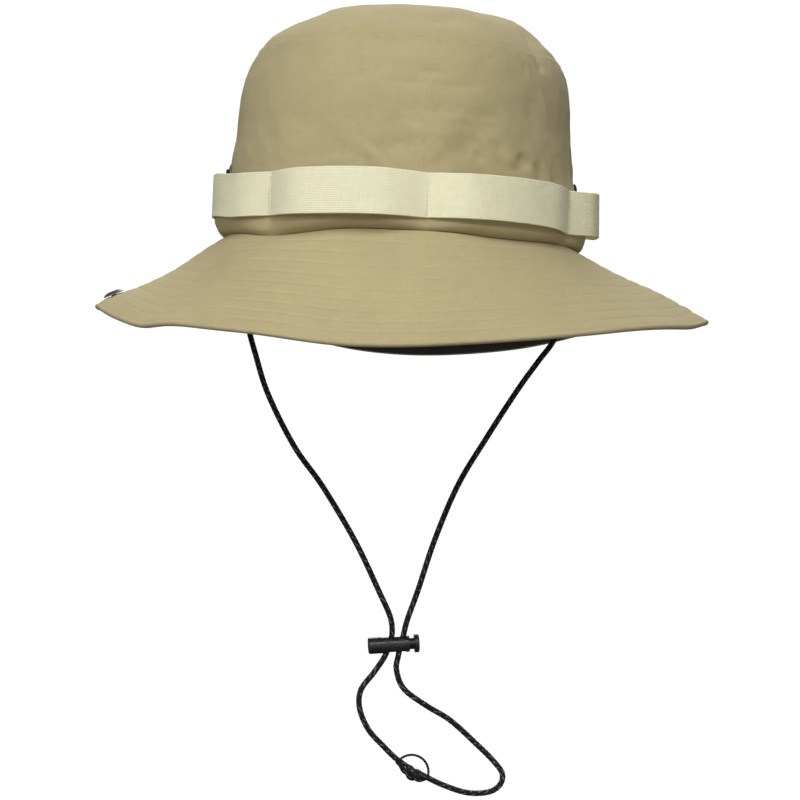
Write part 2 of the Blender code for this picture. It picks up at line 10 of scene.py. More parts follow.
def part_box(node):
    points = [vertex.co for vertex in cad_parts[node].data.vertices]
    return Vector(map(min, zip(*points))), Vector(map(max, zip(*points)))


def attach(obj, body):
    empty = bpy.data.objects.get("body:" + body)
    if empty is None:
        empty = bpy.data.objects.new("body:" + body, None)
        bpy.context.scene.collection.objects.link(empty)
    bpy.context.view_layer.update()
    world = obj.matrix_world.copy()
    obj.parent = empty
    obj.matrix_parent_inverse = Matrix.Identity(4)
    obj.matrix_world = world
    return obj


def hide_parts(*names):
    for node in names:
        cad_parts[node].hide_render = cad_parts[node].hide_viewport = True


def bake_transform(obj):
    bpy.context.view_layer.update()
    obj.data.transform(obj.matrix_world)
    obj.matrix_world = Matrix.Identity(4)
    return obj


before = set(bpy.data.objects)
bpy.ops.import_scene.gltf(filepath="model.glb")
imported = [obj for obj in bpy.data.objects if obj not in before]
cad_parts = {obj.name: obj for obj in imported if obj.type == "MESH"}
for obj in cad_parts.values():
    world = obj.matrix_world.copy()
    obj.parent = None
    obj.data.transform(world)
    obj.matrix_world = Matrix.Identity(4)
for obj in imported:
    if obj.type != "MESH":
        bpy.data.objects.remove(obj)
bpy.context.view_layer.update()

MM = 0.001
TAU = 2 * math.pi

# ---------------------------------------------------------------- sizes, the same as the frame's
OVAL = 1.21
CROWN_PROFILE = (
    (0.086, 0.000), (0.0853, 0.020), (0.0846, 0.033), (0.0835, 0.051),
    (0.081, 0.070), (0.077, 0.085), (0.073, 0.092),
)
DOME_RISE = 0.0233
DOME_POWER = 3.2

BRIM_INNER = 0.0855
BRIM_START_Z = -0.0018
BRIM_WIDTH = 0.072
BRIM_STEEPER_START = 0.2
BRIM_EDGE_Z = -0.0425
BRIM_EDGE_WAVES = ((1, 0.005, 0.005), (2, 0.008, -0.002), (4, 0.0, 0.001))
BRIM_HALF = 1.4 * MM
BRIM_ROW_PITCH = 7.1 * MM
# Where the brim's edge lifts: angle in degrees, width in degrees, lift.
BRIM_LIFTS = (
    (-169, 7, -1.8 * MM), (-156.5, 11, -5.9 * MM), (-122, 12, 1.9 * MM), (-50, 9, 0.5 * MM),
    (-28, 10, -1.6 * MM), (0, 14, -2.1 * MM), (36, 16, 6.5 * MM), (82, 14, -1.3 * MM),
    (95, 7, -1.0 * MM), (102, 11, 3.4 * MM), (130, 20, 4.2 * MM),
)
# Over the ears the brim bows up before its edge turns down: angle, share of the width, reach, height.
BRIM_BOW_SPREAD = 26
BRIM_BOWS = ((0, 0.62, 0.27, 2.9 * MM), (180, 0.87, 0.13, 1.0 * MM), (180, 0.42, 0.26, -1.8 * MM))
# The seam between crown and brim wanders: angle in degrees, drop in millimetres.
SEAM_DROPS = (
    (-180, 1.0), (-162, 1.4), (-144, 4.4), (-132, 3.6), (-116, 0.8), (-90, 0.8), (-80, 0.5),
    (-72, 1.3), (-66, 1.7), (-55, 1.4), (-38, 0.3), (-12, 1.0), (10, 1.0), (35, 2.0), (60, 0.7),
    (90, 2.0), (120, 0.8), (145, 2.5), (170, 1.2), (180, 1.0),
)

WEBBING_BOTTOM = 0.007
WEBBING_WIDTH = 0.021
WEBBING_THICKNESS = 1.3 * MM
WEBBING_TILT = 0.0011
WEBBING_DIP = 0.0019
WEBBING_SETBACK = 0.7 * MM
WEBBING_BACK_RISE = 2.3 * MM
TACK_ANGLES = np.radians((90, 148, 217.5, 270, 326.5, 389, 450))
LOOP_HEIGHTS = np.array((0.0036, 0.0052, 0.0084, 0.0060, 0.0090, 0.0036))
LOOP_SHOULDERS = np.array((0.26, 0.17, 0.24, 0.20, 0.17, 0.26))
WEBBING_LAP = math.radians(7.5)

CORD_RADIUS = 1.4 * MM
BRAID_PITCH = 4.2 * MM
ANCHOR_X = 0.0803
ANCHOR_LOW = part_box("cord_anchor_left")[0].z
KNOT_CENTRE = Vector((0.0193, 0.0, -0.2560))
KNOT_SLOPE = math.radians(26)
KNOT_SAG = -1.7 * MM

RIGHT_ROUTE_MM = (
    (-80.0, 0, -22), (-77.5, 0, -32), (-73.5, 0, -42), (-68.5, 0, -57), (-61, 0, -77),
    (-47, 0, -101.5), (-32, 0, -120.5), (-15, 0, -146), (-2, 0, -170), (4.0, 0, -182),
    (5.3, 0, -190), (3.9, 0, -195.5), (2.4, 0, -201), (-2.5, -0.5, -209), (-8.6, -1, -218),
    (-8.8, -1.5, -227), (-4.0, -1.5, -237), (4.0, -1, -245), (10.5, -0.5, -250.7),
)
LEFT_ROUTE_MM = (
    (80.6, 0, -22), (80.2, 0, -32), (77.5, 0, -43), (70.5, 0, -53.5), (61, 0, -68),
    (47, 0, -92), (34, 0, -116), (24, 0, -143), (17, 0, -168), (12.4, 0, -183),
    (10.9, 0, -190.5), (9.9, 0, -195), (8.9, 0, -200.5), (8.4, 0.5, -207.5), (12.5, 1, -216.5),
    (23.5, 1.5, -224), (36.3, 2, -231), (49.5, 2, -241.8), (58.2, 1.5, -249.6), (62.9, 1, -255.6),
    (62, 0.8, -261.2), (56.5, 0.5, -264.9), (46, 0, -265.6), (33.5, 0, -262.2),
)


# ---------------------------------------------------------------- mesh helpers
def grid_object(name, points, uv, wrap_rows=False, wrap_columns=False, caps=False):
    """Mesh from a grid of points (rows, columns, 3); uv has one more row or column where it wraps."""
    rows, columns = points.shape[:2]
    i = np.arange(rows if wrap_rows else rows - 1)[:, None]
    j = np.arange(columns if wrap_columns else columns - 1)[None, :]
    corners = [(i, j), (i, j + 1), (i + 1, j + 1), (i + 1, j)]
    faces = np.stack([(a % rows) * columns + (b % columns) for a, b in corners], axis=-1)
    faces = faces.reshape(-1, 4).tolist()
    texture = np.stack([uv[a + 0 * b, b + 0 * a] for a, b in corners], axis=2).reshape(-1, 2)
    if caps:
        for k in (0, columns - 1):
            ring = [r * columns + k for r in range(rows)]
            faces.append(ring)
            texture = np.concatenate([texture, uv[:rows, k]])
    mesh = bpy.data.meshes.new(name)
    mesh.from_pydata(points.reshape(-1, 3).tolist(), [], faces)
    layer = mesh.uv_layers.new(name="cloth")
    layer.data.foreach_set("uv", texture.astype(np.float32).ravel())
    outward(mesh)
    mesh.shade_smooth()
    mesh.set_sharp_from_angle(angle=math.radians(55))
    return linked(name, mesh)


def linked(name, data):
    """Object that holds the data, in the scene."""
    made = bpy.data.objects.new(name, data)
    bpy.context.scene.collection.objects.link(made)
    return made


def outward(mesh):
    bm = bmesh.new()
    bm.from_mesh(mesh)
    bmesh.ops.recalc_face_normals(bm, faces=bm.faces)
    bm.to_mesh(mesh)
    bm.free()


def finish_piece(piece, material, replaced=()):
    """Material and body of a piece of the hat, and the CAD nodes that it stands for."""
    piece.data.materials.append(material)
    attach(piece, "hat")
    if replaced:
        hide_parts(*replaced)
    return piece


def unit(v):
    return v / np.maximum(np.linalg.norm(v, axis=-1, keepdims=True), 1e-12)


def with_normals(surface, a, b):
    """Points of a surface and its outward unit normals, by small steps."""
    step = 1e-4
    along = surface(a + step, b) - surface(a - step, b)
    across = surface(a, b + step) - surface(a, b - step)
    return surface(a, b), unit(np.cross(along, across))


def with_upward_normals(surface, a, b):
    """The same, with every normal turned to the upper side."""
    p, n = with_normals(surface, a, b)
    return p, np.where(n[..., 2:3] < 0, -n, n)


def oval_out(angle, rise=0):
    """Unit direction straight out from the head's oval, or leaning up where rise isn't 0."""
    return unit(np.stack([OVAL * np.cos(angle), np.sin(angle), rise + 0 * angle], axis=-1))


def rough(points, size, seed):
    """Smooth noise from -1 to 1 at each point, with features of about the given size."""
    flat = points.reshape(-1, 3) / size + seed * 7.31
    values = [noise.noise(Vector(p)) for p in flat.tolist()]
    return np.array(values).reshape(points.shape[:-1])


def bump(distance, width):
    return np.exp(-(distance / width) ** 2)


def ease(t):
    t = np.clip(t, 0, 1)
    return t * t * (3 - 2 * t)


def degrees_from(degrees, at):
    """Signed difference of two directions in degrees, from -180 to 180."""
    return (degrees - at + 180) % 360 - 180


def reach_along(path):
    """Distance along a path at each of its points."""
    return np.concatenate([[0], np.cumsum(np.linalg.norm(np.diff(path, axis=0), axis=1))])


def even_steps(curve, start, end, pitch):
    """Parameter values along a curve that are an even pitch apart."""
    t = np.linspace(start, end, 1500)
    reach = reach_along(curve(t))
    count = max(2, int(round(reach[-1] / pitch)))
    return np.interp((np.arange(count) + 0.5) * reach[-1] / count, reach, t)


def stitches(name, centres, directions, normals, length, radius):
    """Short spindles of thread, each arched over the cloth with its ends sunk into it."""
    centres, directions, normals = (np.concatenate(x) for x in (centres, directions, normals))
    sides = unit(np.cross(directions, normals))
    along = np.array([-0.5, -0.36, 0.0, 0.36, 0.5]) * length
    thick = np.array([0.25, 0.85, 1.0, 0.85, 0.25]) * radius
    high = np.array([-0.9, 0.1, 0.45, 0.1, -0.9]) * radius
    turn = np.arange(6) * TAU / 6
    count = len(centres)
    verts = np.zeros((count, 5, 6, 3))
    for k in range(5):
        spine = centres + directions * along[k] + normals * high[k]
        for m, t in enumerate(turn):
            verts[:, k, m] = spine + (sides * math.cos(t) + normals * math.sin(t)) * thick[k]
    faces = []
    for k in range(4):
        for m in range(6):
            n = (m + 1) % 6
            faces.append((k * 6 + m, k * 6 + n, (k + 1) * 6 + n, (k + 1) * 6 + m))
    quads = (np.array(faces)[None] + (np.arange(count) * 30)[:, None, None]).reshape(-1, 4).tolist()
    ends = []
    for base in range(0, count * 30, 30):
        ends.append([base + m for m in range(6)])
        ends.append([base + 29 - m for m in range(6)])
    mesh = bpy.data.meshes.new(name)
    mesh.from_pydata(verts.reshape(-1, 3).tolist(), [], quads + ends)
    outward(mesh)
    mesh.shade_smooth()
    return linked(name, mesh)


def row_of_stitches(surface, curve, start, end, pitch, lift):
    """Centres, directions and normals of a row of stitches on a surface."""
    t = even_steps(lambda x: surface(*curve(x)), start, end, pitch)
    points, normals = with_normals(surface, *curve(t))
    ahead = surface(*curve(t + 1e-4)) - surface(*curve(t - 1e-4))
    return points + normals * lift, unit(ahead), normals


# ---------------------------------------------------------------- materials
class Nodes:
    """Small helper to lay out shader nodes."""

    def __init__(self, name):
        self.material = bpy.data.materials.new(name)
        self.material.use_nodes = True
        self.tree = self.material.node_tree
        self.shader = self.tree.nodes["Principled BSDF"]
        coordinates = self.add("ShaderNodeTexCoord")
        self.uv, self.place = coordinates.outputs["UV"], coordinates.outputs["Object"]

    def add(self, kind, inputs=None, **settings):
        made = self.tree.nodes.new(kind)
        for key, value in settings.items():
            setattr(made, key, value)
        for key, value in (inputs or {}).items():
            self.feed(value, made.inputs[key])
        return made

    def join(self, source, target):
        self.tree.links.new(source, target)

    def feed(self, value, socket):
        """Give the socket a number or a colour, or join another node's output to it."""
        if isinstance(value, (int, float)):
            socket.default_value = value
        elif isinstance(value, tuple):
            socket.default_value = (*value, 1.0)
        elif value is not None:
            self.join(value, socket)

    def look(self, name, value):
        self.feed(value, self.shader.inputs[name])

    def math(self, operation, a, b=None):
        return self.add("ShaderNodeMath", {0: a, 1: b}, operation=operation).outputs[0]

    def noise(self, vector, scale, detail=2.0, roughness=0.5):
        inputs = {"Vector": vector, "Scale": scale, "Detail": detail, "Roughness": roughness}
        return self.add("ShaderNodeTexNoise", inputs).outputs["Fac"]

    def stretch(self, vector, scale):
        made = self.add("ShaderNodeMapping", {"Vector": vector})
        made.inputs["Scale"].default_value = scale
        return made.outputs["Vector"]

    def ramp(self, fac, stops):
        made = self.add("ShaderNodeValToRGB")
        elements = made.color_ramp.elements
        while len(elements) < len(stops):
            elements.new(0.5)
        for element, (place, colour) in zip(elements, stops):
            element.position = place
            element.color = (*colour, 1.0)
        self.join(fac, made.inputs["Fac"])
        return made.outputs["Color"]

    def greys(self, fac, low, dark, high, light):
        """Grey that goes from dark to light as fac goes from low to high."""
        return self.ramp(fac, ((low, (dark,) * 3), (high, (light,) * 3)))

    def darken(self, base, fac, low, dark, high, light, amount=1.0):
        return self.mix("MULTIPLY", amount, base, self.greys(fac, low, dark, high, light))

    def mix(self, kind, fac, a, b):
        return self.add("ShaderNodeMix", {0: fac, 6: a, 7: b}, data_type="RGBA", blend_type=kind).outputs[2]

    def relief(self, height, strength, distance, under=None):
        inputs = {"Strength": strength, "Distance": distance, "Height": height, "Normal": under}
        return self.add("ShaderNodeBump", inputs).outputs["Normal"]


def shade(colour, factor):
    return tuple(c * factor for c in colour)


def woven(name, colour, thread, ribs=1.0, depth=0.12 * MM, variation=0.04, roughness=0.9, sheen=0.08,
          gap_shade=0.74):
    """Plain-woven cloth: crossing threads from the UV, slubs, broad fading and a soft sheen.
    thread is the pitch of the lengthwise threads, ribs how much wider the crosswise ones are and
    gap_shade the brightness of the painted shade in the hollows between the threads."""
    n = Nodes(name)
    split = n.add("ShaderNodeSeparateXYZ")
    n.join(n.uv, split.inputs[0])
    across = n.math("SINE", n.math("MULTIPLY", split.outputs[0], math.pi / (thread * ribs)))
    along = n.math("SINE", n.math("MULTIPLY", split.outputs[1], math.pi / thread))
    over = n.math("MULTIPLY", across, along)
    weave = n.math("POWER", n.math("ABSOLUTE", over), 0.5)
    slubs_a = n.noise(n.stretch(n.uv, (60, 2200, 1)), 1.0, 1.0)
    slubs_b = n.noise(n.stretch(n.uv, (2200, 60, 1)), 1.0, 1.0)
    slubs = n.math("MULTIPLY", n.math("ADD", slubs_a, slubs_b), 0.5)
    broad = n.noise(n.place, 22.0, 3.0, 0.55)
    fine = n.noise(n.place, 260.0, 3.0, 0.6)
    base = n.ramp(broad, ((0.3, shade(colour, 1 - variation)), (0.7, shade(colour, 1 + variation))))
    base = n.darken(base, slubs, 0.3, 0.93, 0.7, 1.0)
    # painted shade: darker in the hollows between thread crossings, where the weave's relief is low
    base = n.darken(base, weave, 0.0, gap_shade, 0.55, 1.0)
    base = n.darken(base, fine, 0.35, 0.93, 0.65, 1.0, 0.7)
    n.look("Base Color", base)
    n.look("Roughness", n.greys(fine, 0.3, roughness - 0.08, 0.7, min(1.0, roughness + 0.06)))
    n.look("Sheen Weight", sheen)
    n.look("Sheen Roughness", 0.5)
    n.look("Specular IOR Level", 0.25)
    low = n.relief(slubs, 0.35, 0.2 * MM)
    n.look("Normal", n.relief(weave, 0.8, depth, low))
    return n.material


def thread_material(name, colour):
    """Twisted sewing thread: fine strands by noise along each stitch."""
    n = Nodes(name)
    strands = n.noise(n.stretch(n.place, (2600, 2600, 2600)), 1.0, 2.0)
    broad = n.noise(n.place, 90.0, 2.0)
    base = n.ramp(strands, ((0.3, shade(colour, 0.8)), (0.7, shade(colour, 1.08))))
    base = n.darken(base, broad, 0.3, 0.9, 0.7, 1.0)
    n.look("Base Color", base)
    n.look("Roughness", 0.75)
    n.look("Sheen Weight", 0.2)
    n.look("Normal", n.relief(strands, 0.5, 0.1 * MM))
    return n.material


def braid_material(name):
    """Black braided cord with grey fleck strands and painted shade in the hollows between strands; U counts
    turns round the cord, V is metres along it.
    """
    n = Nodes(name)
    split = n.add("ShaderNodeSeparateXYZ")
    n.join(n.uv, split.inputs[0])
    around = n.math("MULTIPLY", split.outputs[0], TAU * 4)
    along = n.math("MULTIPLY", split.outputs[1], TAU / BRAID_PITCH)
    left = n.math("SINE", n.math("ADD", around, along))
    right = n.math("SINE", n.math("SUBTRACT", around, along))
    plait = n.math("MULTIPLY", left, right)
    height = n.math("POWER", n.math("ABSOLUTE", plait), 0.6)
    fleck = n.noise(n.stretch(n.uv, (5, 420, 1)), 1.0, 2.0, 0.7)
    lit = n.math("MULTIPLY", n.greys(fleck, 0.48, 0.0, 0.56, 1.0), left)
    base = n.ramp(lit, ((0.25, (0.006, 0.006, 0.0065)), (0.7, (0.2, 0.2, 0.19))))
    # painted shade: darker in the hollows between the braid's strands, where its relief is low
    base = n.darken(base, height, 0.0, 0.35, 0.5, 1.0)
    n.look("Base Color", base)
    fibres = n.noise(n.place, 3000.0, 2.0)
    n.look("Roughness", n.greys(fibres, 0.3, 0.55, 0.7, 0.8))
    n.look("Sheen Weight", 0.05)
    n.look("Specular IOR Level", 0.3)
    low = n.relief(fibres, 0.3, 0.06 * MM)
    n.look("Normal", n.relief(height, 0.9, 0.25 * MM, low))
    return n.material


def hard_material(name, colour, roughness, metallic, grain, wear):
    """Moulded plastic or enamelled metal: fine grain, uneven gloss and rubbed, paler edges."""
    n = Nodes(name)
    fine = n.noise(n.place, grain, 4.0, 0.6)
    broad = n.noise(n.place, 500.0, 2.0)
    edge = n.add("ShaderNodeNewGeometry").outputs["Pointiness"]
    rubbed = n.math("MULTIPLY", n.greys(edge, 0.52, 0.0, 0.6, 1.0), fine)
    base = n.darken(n.mix("MIX", rubbed, colour, wear), broad, 0.3, 0.8, 0.7, 1.0)
    n.look("Base Color", base)
    n.look("Roughness", n.greys(broad, 0.3, roughness - 0.08, 0.7, roughness + 0.1))
    n.look("Metallic", metallic)
    n.look("Normal", n.relief(fine, 0.25, 0.05 * MM))
    return n.material


KHAKI = (0.515, 0.435, 0.232)
materials = {
    # painted shade: the crown gets a copy of the brim's khaki cloth that is 3% darker
    "crown": woven("khaki_crown_cloth_shaded", shade(KHAKI, 0.97), 0.42 * MM),
    "brim": woven("khaki_brim_cloth", shade(KHAKI, 1.0), 0.42 * MM),
    "lining": woven("black_lining_cloth", (0.040, 0.037, 0.031), 0.42 * MM, sheen=0.1),
    "sweat": woven("black_sweatband_cloth", (0.022, 0.022, 0.024), 0.5 * MM, ribs=1.4),
    "webbing": woven("cream_webbing", (0.90, 0.87, 0.61), 0.8 * MM, 1.6, 0.22 * MM, 0.03, 0.82, 0.1, 0.91),
    "tape": woven("khaki_tape", shade(KHAKI, 0.9), 0.6 * MM, ribs=1.3),
    "label": woven("blank_label_cloth", (0.8, 0.8, 0.77), 0.25 * MM, 1.0, 0.06 * MM, 0.02, 0.6),
    "khaki_thread": thread_material("khaki_thread", shade(KHAKI, 1.03)),
    "black_thread": thread_material("black_thread", (0.02, 0.02, 0.022)),
    "cream_thread": thread_material("cream_thread", (0.93, 0.90, 0.66)),
    "cord": braid_material("flecked_braid"),
    "snap": hard_material("black_enamel", (0.01, 0.01, 0.011), 0.35, 0.5, 2500.0, (0.35, 0.33, 0.3)),
    "plastic": hard_material("black_acetal", (0.004, 0.004, 0.0045), 0.36, 0.0, 3500.0, (0.05, 0.05, 0.055)),
    "spring": hard_material("spring_wire", (0.6, 0.6, 0.62), 0.25, 1.0, 4000.0, (0.7, 0.7, 0.7)),
}


# ---------------------------------------------------------------- crown
def profile_curve():
    """Half width and height along the crown's side, smoothed through the profile's points."""
    widths, heights = (np.array(x) for x in zip(*CROWN_PROFILE))
    slopes = np.gradient(widths, heights)
    z = np.linspace(0, heights[-1], 200)
    k = np.clip(np.searchsorted(heights, z, side="right") - 1, 0, len(heights) - 2)
    h = heights[k + 1] - heights[k]
    t = (z - heights[k]) / h
    w = ((2 * t**3 - 3 * t**2 + 1) * widths[k] + (t**3 - 2 * t**2 + t) * h * slopes[k]
         + (3 * t**2 - 2 * t**3) * widths[k + 1] + (t**3 - t**2) * h * slopes[k + 1])
    return z, w


PROFILE_Z, PROFILE_W = profile_curve()
CROWN_TOP = CROWN_PROFILE[-1][1]
# Folds of the soft crown in millimetres: (x, z) ends of each crease on the front, width, depth; minus
# is a hollow.
CREASES_MM = (
    ((49, 102), (57.8, 85.5), 2.6, -1.2),
    ((57.5, 86.5), (58, 81), 2.4, -1.3),
    ((57, 100), (66.5, 80), 4.2, 0.5),
    ((66.5, 84), (71, 56), 4.5, 0.5),
    ((56, 76), (63, 56), 1.3, 0.5),
    ((50, 70), (56, 48), 6, -0.9),
    ((-24, 38.5), (-17.2, 29), 1.9, -1.3),
    ((-28.5, 37), (-23.5, 29), 3, 0.9),
    ((16, 62), (2, 33), 8, 1.1),
    ((30, 58), (16, 34), 7, -1.1),
    ((23, 37), (29, 34), 2.6, -1),
    ((37, 42), (44, 33), 4, 1.1),
    ((46, 39), (50.5, 32.5), 2.8, -1.6),
    ((59.2, 38), (63.8, 30), 1.4, 1.4),
    ((54, 36), (60, 29), 2.2, -1.3),
    ((-23.6, 96), (-23, 86.5), 1.4, -0.6),
    ((-68, 60), (-66, 33), 6, 0.9),
    ((-56, 86), (-62, 64), 7, -0.9),
    ((-50, 45), (-40, 32), 5, -0.7),
)


def oval_points(width, angle, z):
    return np.stack([width * np.cos(angle), OVAL * width * np.sin(angle), z + 0 * angle], axis=-1)


def side_base(angle, z):
    return oval_points(np.interp(z, PROFILE_Z, PROFILE_W), angle, z)


def dome_base(angle, share):
    width = CROWN_PROFILE[-1][0] * share
    return oval_points(width, angle, CROWN_TOP + DOME_RISE * (1 - np.abs(share) ** DOME_POWER))


def crease(x, z, a, b, width):
    """Height from 0 to 1 of a fold that runs from a to b, fading out at both ends."""
    run, rise = b[0] - a[0], b[1] - a[1]
    length = math.hypot(run, rise)
    along = ((x - a[0]) * run + (z - a[1]) * rise) / length ** 2
    across = ((x - a[0]) * rise - (z - a[1]) * run) / length
    fade = np.clip(1 - (2 * along - 1) ** 2 / 1.5, 0, 1) ** 1.2
    return fade / (1 + (across / width) ** 2) ** 1.5


def crown_lean(x, z):
    """The worn shape: pressed in at the left side above the band, with a top that sinks to the right."""
    left, right = np.clip(x / 0.085, 0, 1), np.clip(-x / 0.085, 0, 1)
    total = -left * (2.2 * MM * ease((z - 0.018) / 0.016) + 2.0 * MM * bump(z - 0.053, 0.018))
    total -= right * (1.4 * MM * bump(z - 0.050, 0.012) + 1.0 * MM * bump(z - 0.084, 0.008))
    top = ease((z - 0.094) / 0.014)
    total += 0.9 * MM * top * bump(x + 0.038, 0.010)
    return total + top * (1.7 * MM * bump(x - 0.046, 0.011) - 1.6 * MM * (1 - ease(x / 0.042)))


def foot_swell(angle, z):
    """The cloth rolls out over the seam at its foot, then tucks back in behind the webbing."""
    room = webbing_distance((angle - math.pi / 2) % TAU + math.pi / 2) - 0.35 * MM
    across = np.cos(angle)
    limit = (7.0 + 1.0 * np.clip(-across, 0, 1) ** 2 - 3.2 * np.clip(across, 0, 1) ** 2) * MM
    out = np.clip(np.minimum(room, limit), 0, None)
    tuck = 1 - 0.35 * ease(-np.sin(angle) / 0.6) * ease((z - 0.0025) / 0.003)
    return out * np.clip(z / 0.006, 0, 1) ** 0.55 * tuck * (1 - ease((z - 0.012) / 0.012))


def crown_sag(p):
    """How far the soft crown stands off its plain form: creases, slack and small wrinkles."""
    x, y, z = p[..., 0], p[..., 1], p[..., 2]
    front = 1 / (1 + np.exp(y / 0.012))
    total = np.zeros_like(x)
    for a, b, width, depth in CREASES_MM:
        total += depth * MM * front * crease(x / MM, z / MM, a, b, width)
        total += depth * MM * (1 - front) * crease(6 - 0.9 * x / MM, z / MM, a, b, width)
    slack = np.clip(z / 0.03, 0, 1)
    total += slack * 0.0010 * rough(p * np.array([1, 1, 0.6]), 0.034, 1)
    total += slack * 0.0004 * rough(p, 0.013, 2)
    total += crown_lean(x, z)
    low = bump(z - 0.036, 0.013)
    total += low * 0.0005 * rough(p * np.array([1, 1, 1.6]), 0.010, 3)
    angle = np.degrees(np.arctan2(y / OVAL, x))
    for tack in np.degrees(TACK_ANGLES[:-1]):
        total += 0.3 * MM * bump(degrees_from(angle, tack), 8) * bump(z - 0.004, 0.006)
    return total + 0.0001 * rough(p, 0.0045, 4)


def seam_drop(angle):
    """How far the crown's lower edge and the brim's inner edge dip, by angle round the head."""
    degrees, drops = (np.array(x, float) for x in zip(*SEAM_DROPS))
    near = [np.interp(degrees_from(np.degrees(angle), shift), degrees, drops) for shift in (0, 5, -5)]
    return sum(near) / 3 * MM


def slack_grid():
    """Cloth simulation of the crown: a touch more cloth than its seams allow, filled out from inside.
    Gives how far each point of a coarse grid ends up off the plain form."""
    turn = np.arange(SLACK_COLUMNS) * TAU / SLACK_COLUMNS
    sides = with_normals(side_base, *np.meshgrid(turn, SLACK_SIDES))
    dome = with_upward_normals(dome_base, *np.meshgrid(turn, SLACK_SHARES))
    rest, normals = (np.concatenate(pair) for pair in zip(sides, dome))
    rows = len(rest)
    uv = np.zeros((rows, SLACK_COLUMNS + 1, 2))
    sheet = grid_object("crown_slack", rest, uv, wrap_columns=True)
    held = sheet.vertex_groups.new(name="held")
    kept = [k for k in range(rows) if k < 3 or k == len(SLACK_SIDES) - 1 or k == rows - 1]
    held.add([r * SLACK_COLUMNS + c for r in kept for c in range(SLACK_COLUMNS)], 1.0, "REPLACE")
    cloth = sheet.modifiers.new("cloth", "CLOTH")
    cloth.settings.quality = 6
    cloth.settings.mass = 0.05
    cloth.settings.tension_stiffness = 18
    cloth.settings.compression_stiffness = 18
    cloth.settings.shear_stiffness = 8
    cloth.settings.bending_stiffness = 0.15
    cloth.settings.shrink_min = -SLACK_SPARE
    cloth.settings.vertex_group_mass = "held"
    cloth.settings.use_pressure = True
    cloth.settings.uniform_pressure_force = 4
    cloth.settings.effector_weights.gravity = 0
    cloth.collision_settings.use_collision = False
    for number in range(1, SLACK_FRAMES + 1):
        bpy.context.scene.frame_set(number)
    shape = sheet.evaluated_get(bpy.context.evaluated_depsgraph_get()).to_mesh()
    moved = np.empty(len(shape.vertices) * 3)
    shape.vertices.foreach_get("co", moved)
    bpy.context.scene.frame_set(1)
    bpy.data.objects.remove(sheet)
    off = np.sum((moved.reshape(rest.shape) - rest) * normals, axis=-1)
    off = off - off.mean(axis=1, keepdims=True)
    return np.clip(off, -SLACK_LIMIT, SLACK_LIMIT)


def slack_at(angle, place, on_dome):
    """The simulated slack at a point: place is the height on a side, or the share on the dome."""
    if on_dome:
        row = len(SLACK_SIDES) - 1 + (1 - place) / (1 - SLACK_SHARES[-1]) * len(SLACK_SHARES)
    else:
        row = place / CROWN_TOP * (len(SLACK_SIDES) - 1)
    row = np.clip(row, 0, len(SLACK) - 1.001)
    column = (angle % TAU) / TAU * SLACK_COLUMNS
    r, c = np.floor(row).astype(int), np.floor(column).astype(int)
    u, v = ease(row - r), ease(column - c)
    a, b = SLACK[r, c % SLACK_COLUMNS], SLACK[r, (c + 1) % SLACK_COLUMNS]
    d, e = SLACK[r + 1, c % SLACK_COLUMNS], SLACK[r + 1, (c + 1) % SLACK_COLUMNS]
    return (a * (1 - v) + b * v) * (1 - u) + (d * (1 - v) + e * v) * u


SLACK_COLUMNS = 200
SLACK_SIDES = np.linspace(0, CROWN_TOP, 36)
SLACK_SHARES = np.linspace(1, 0.06, 27)[1:]
SLACK_SPARE = 0.018
SLACK_LIMIT = 2 * MM
SLACK_FRAMES = 16
SLACK = slack_grid()


def seam_normal(normals, angle, away):
    """The way a point moves off the plain form: both sides of the top seam move the same way."""
    near = bump(away, 7 * MM)[..., None]
    return unit(normals * (1 - near) + oval_out(angle, 0.75) * near)


def side_surface(angle, z):
    """Outer face of a side panel, with the roll of its seams."""
    p, n = with_normals(side_base, angle, z)
    from_top = CROWN_TOP - z
    from_seam = np.abs(np.cos(angle)) * CROWN_PROFILE[0][0]
    roll = -0.30 * MM * bump(from_top, 0.9 * MM) + 0.15 * MM * bump(from_top - 4 * MM, 3 * MM)
    roll += -0.05 * MM * bump(from_seam, 0.4 * MM)
    roll += -1.2 * MM * bump(z, 0.9 * MM)
    pucker = bump(from_top - 2 * MM, 4 * MM) + 0.5 * bump(from_seam - 2 * MM, 4 * MM) + bump(z, 5 * MM)
    roll = roll + 0.10 * MM * pucker * rough(p, 0.005, 5)
    off = crown_sag(p) + slack_at(angle, z, False) + foot_swell(angle, z) + roll
    moved = p + seam_normal(n, angle, from_top) * off[..., None]
    moved[..., 2] -= seam_drop(angle) * (1 - np.clip(z / 0.009, 0, 1)) ** 1.5
    return moved


def dome_surface(angle, share):
    p, n = with_upward_normals(dome_base, angle, share)
    from_edge = (1 - share) * CROWN_PROFILE[-1][0]
    roll = -0.30 * MM * bump(from_edge, 0.9 * MM) + 0.15 * MM * bump(from_edge - 4 * MM, 3 * MM)
    roll = roll + 0.10 * MM * bump(from_edge - 2 * MM, 4 * MM) * rough(p, 0.005, 5)
    off = crown_sag(p) + slack_at(angle, share, True) + roll
    return p + seam_normal(n, angle, from_edge) * off[..., None]


